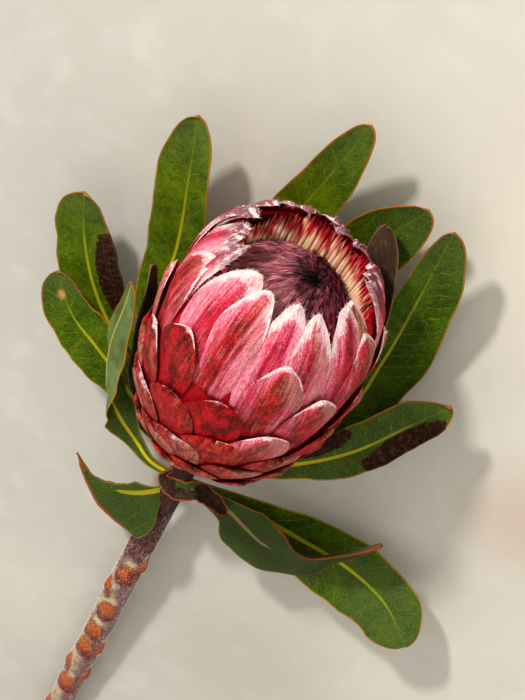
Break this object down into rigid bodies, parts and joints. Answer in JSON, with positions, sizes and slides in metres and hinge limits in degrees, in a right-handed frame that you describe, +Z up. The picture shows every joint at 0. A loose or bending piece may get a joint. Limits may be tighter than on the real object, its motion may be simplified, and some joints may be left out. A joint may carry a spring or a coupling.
{
  "type": "cut flower",
  "caption": "Cut queen protea bloom lying on its side: shingled pink bracts round a floret ring and dark plume, leathery leaves, scarred woody stem.",
  "frame": {"origin": "the middle of the flat spot under the flower head, on the surface that the flower lies on", "axes": "+Z up from the surface; the stem runs back along +Y to its cut end and the head's mouth looks to -Y and a little up; +X to the side"},
  "size_m": [0.221, 0.4266, 0.0907],
  "materials": {
    "bract": "silky, finely hairy, matt, crimson to pink with pale woolly margins",
    "floret": "matt salmon tubes",
    "plume": "dense dark purple hair",
    "stem": "matt bark with cream and orange leaf scars",
    "leaf": "leathery, satin, yellow midrib and orange-red margin",
    "dry_leaf": "leathery, dried brown to black"
  },
  "bodies": {
    "root": {"bracts": "bract", "florets": "floret", "plume": "plume", "stem": "stem", "leaf_front_left": "leaf", "leaf_front": "leaf", "leaf_front_right": "leaf", "leaf_right": "leaf", "leaf_right_dry": "dry_leaf", "leaf_back_right": "leaf", "leaf_side_right": "leaf", "leaf_side_right_upper": "leaf", "leaf_top_left": "leaf", "leaf_top": "leaf", "leaf_back_left": "leaf", "leaf_side_left": "leaf", "leaf_twisted": "leaf", "leaf_left_dry": "dry_leaf"}
  },
  "joints": []
}
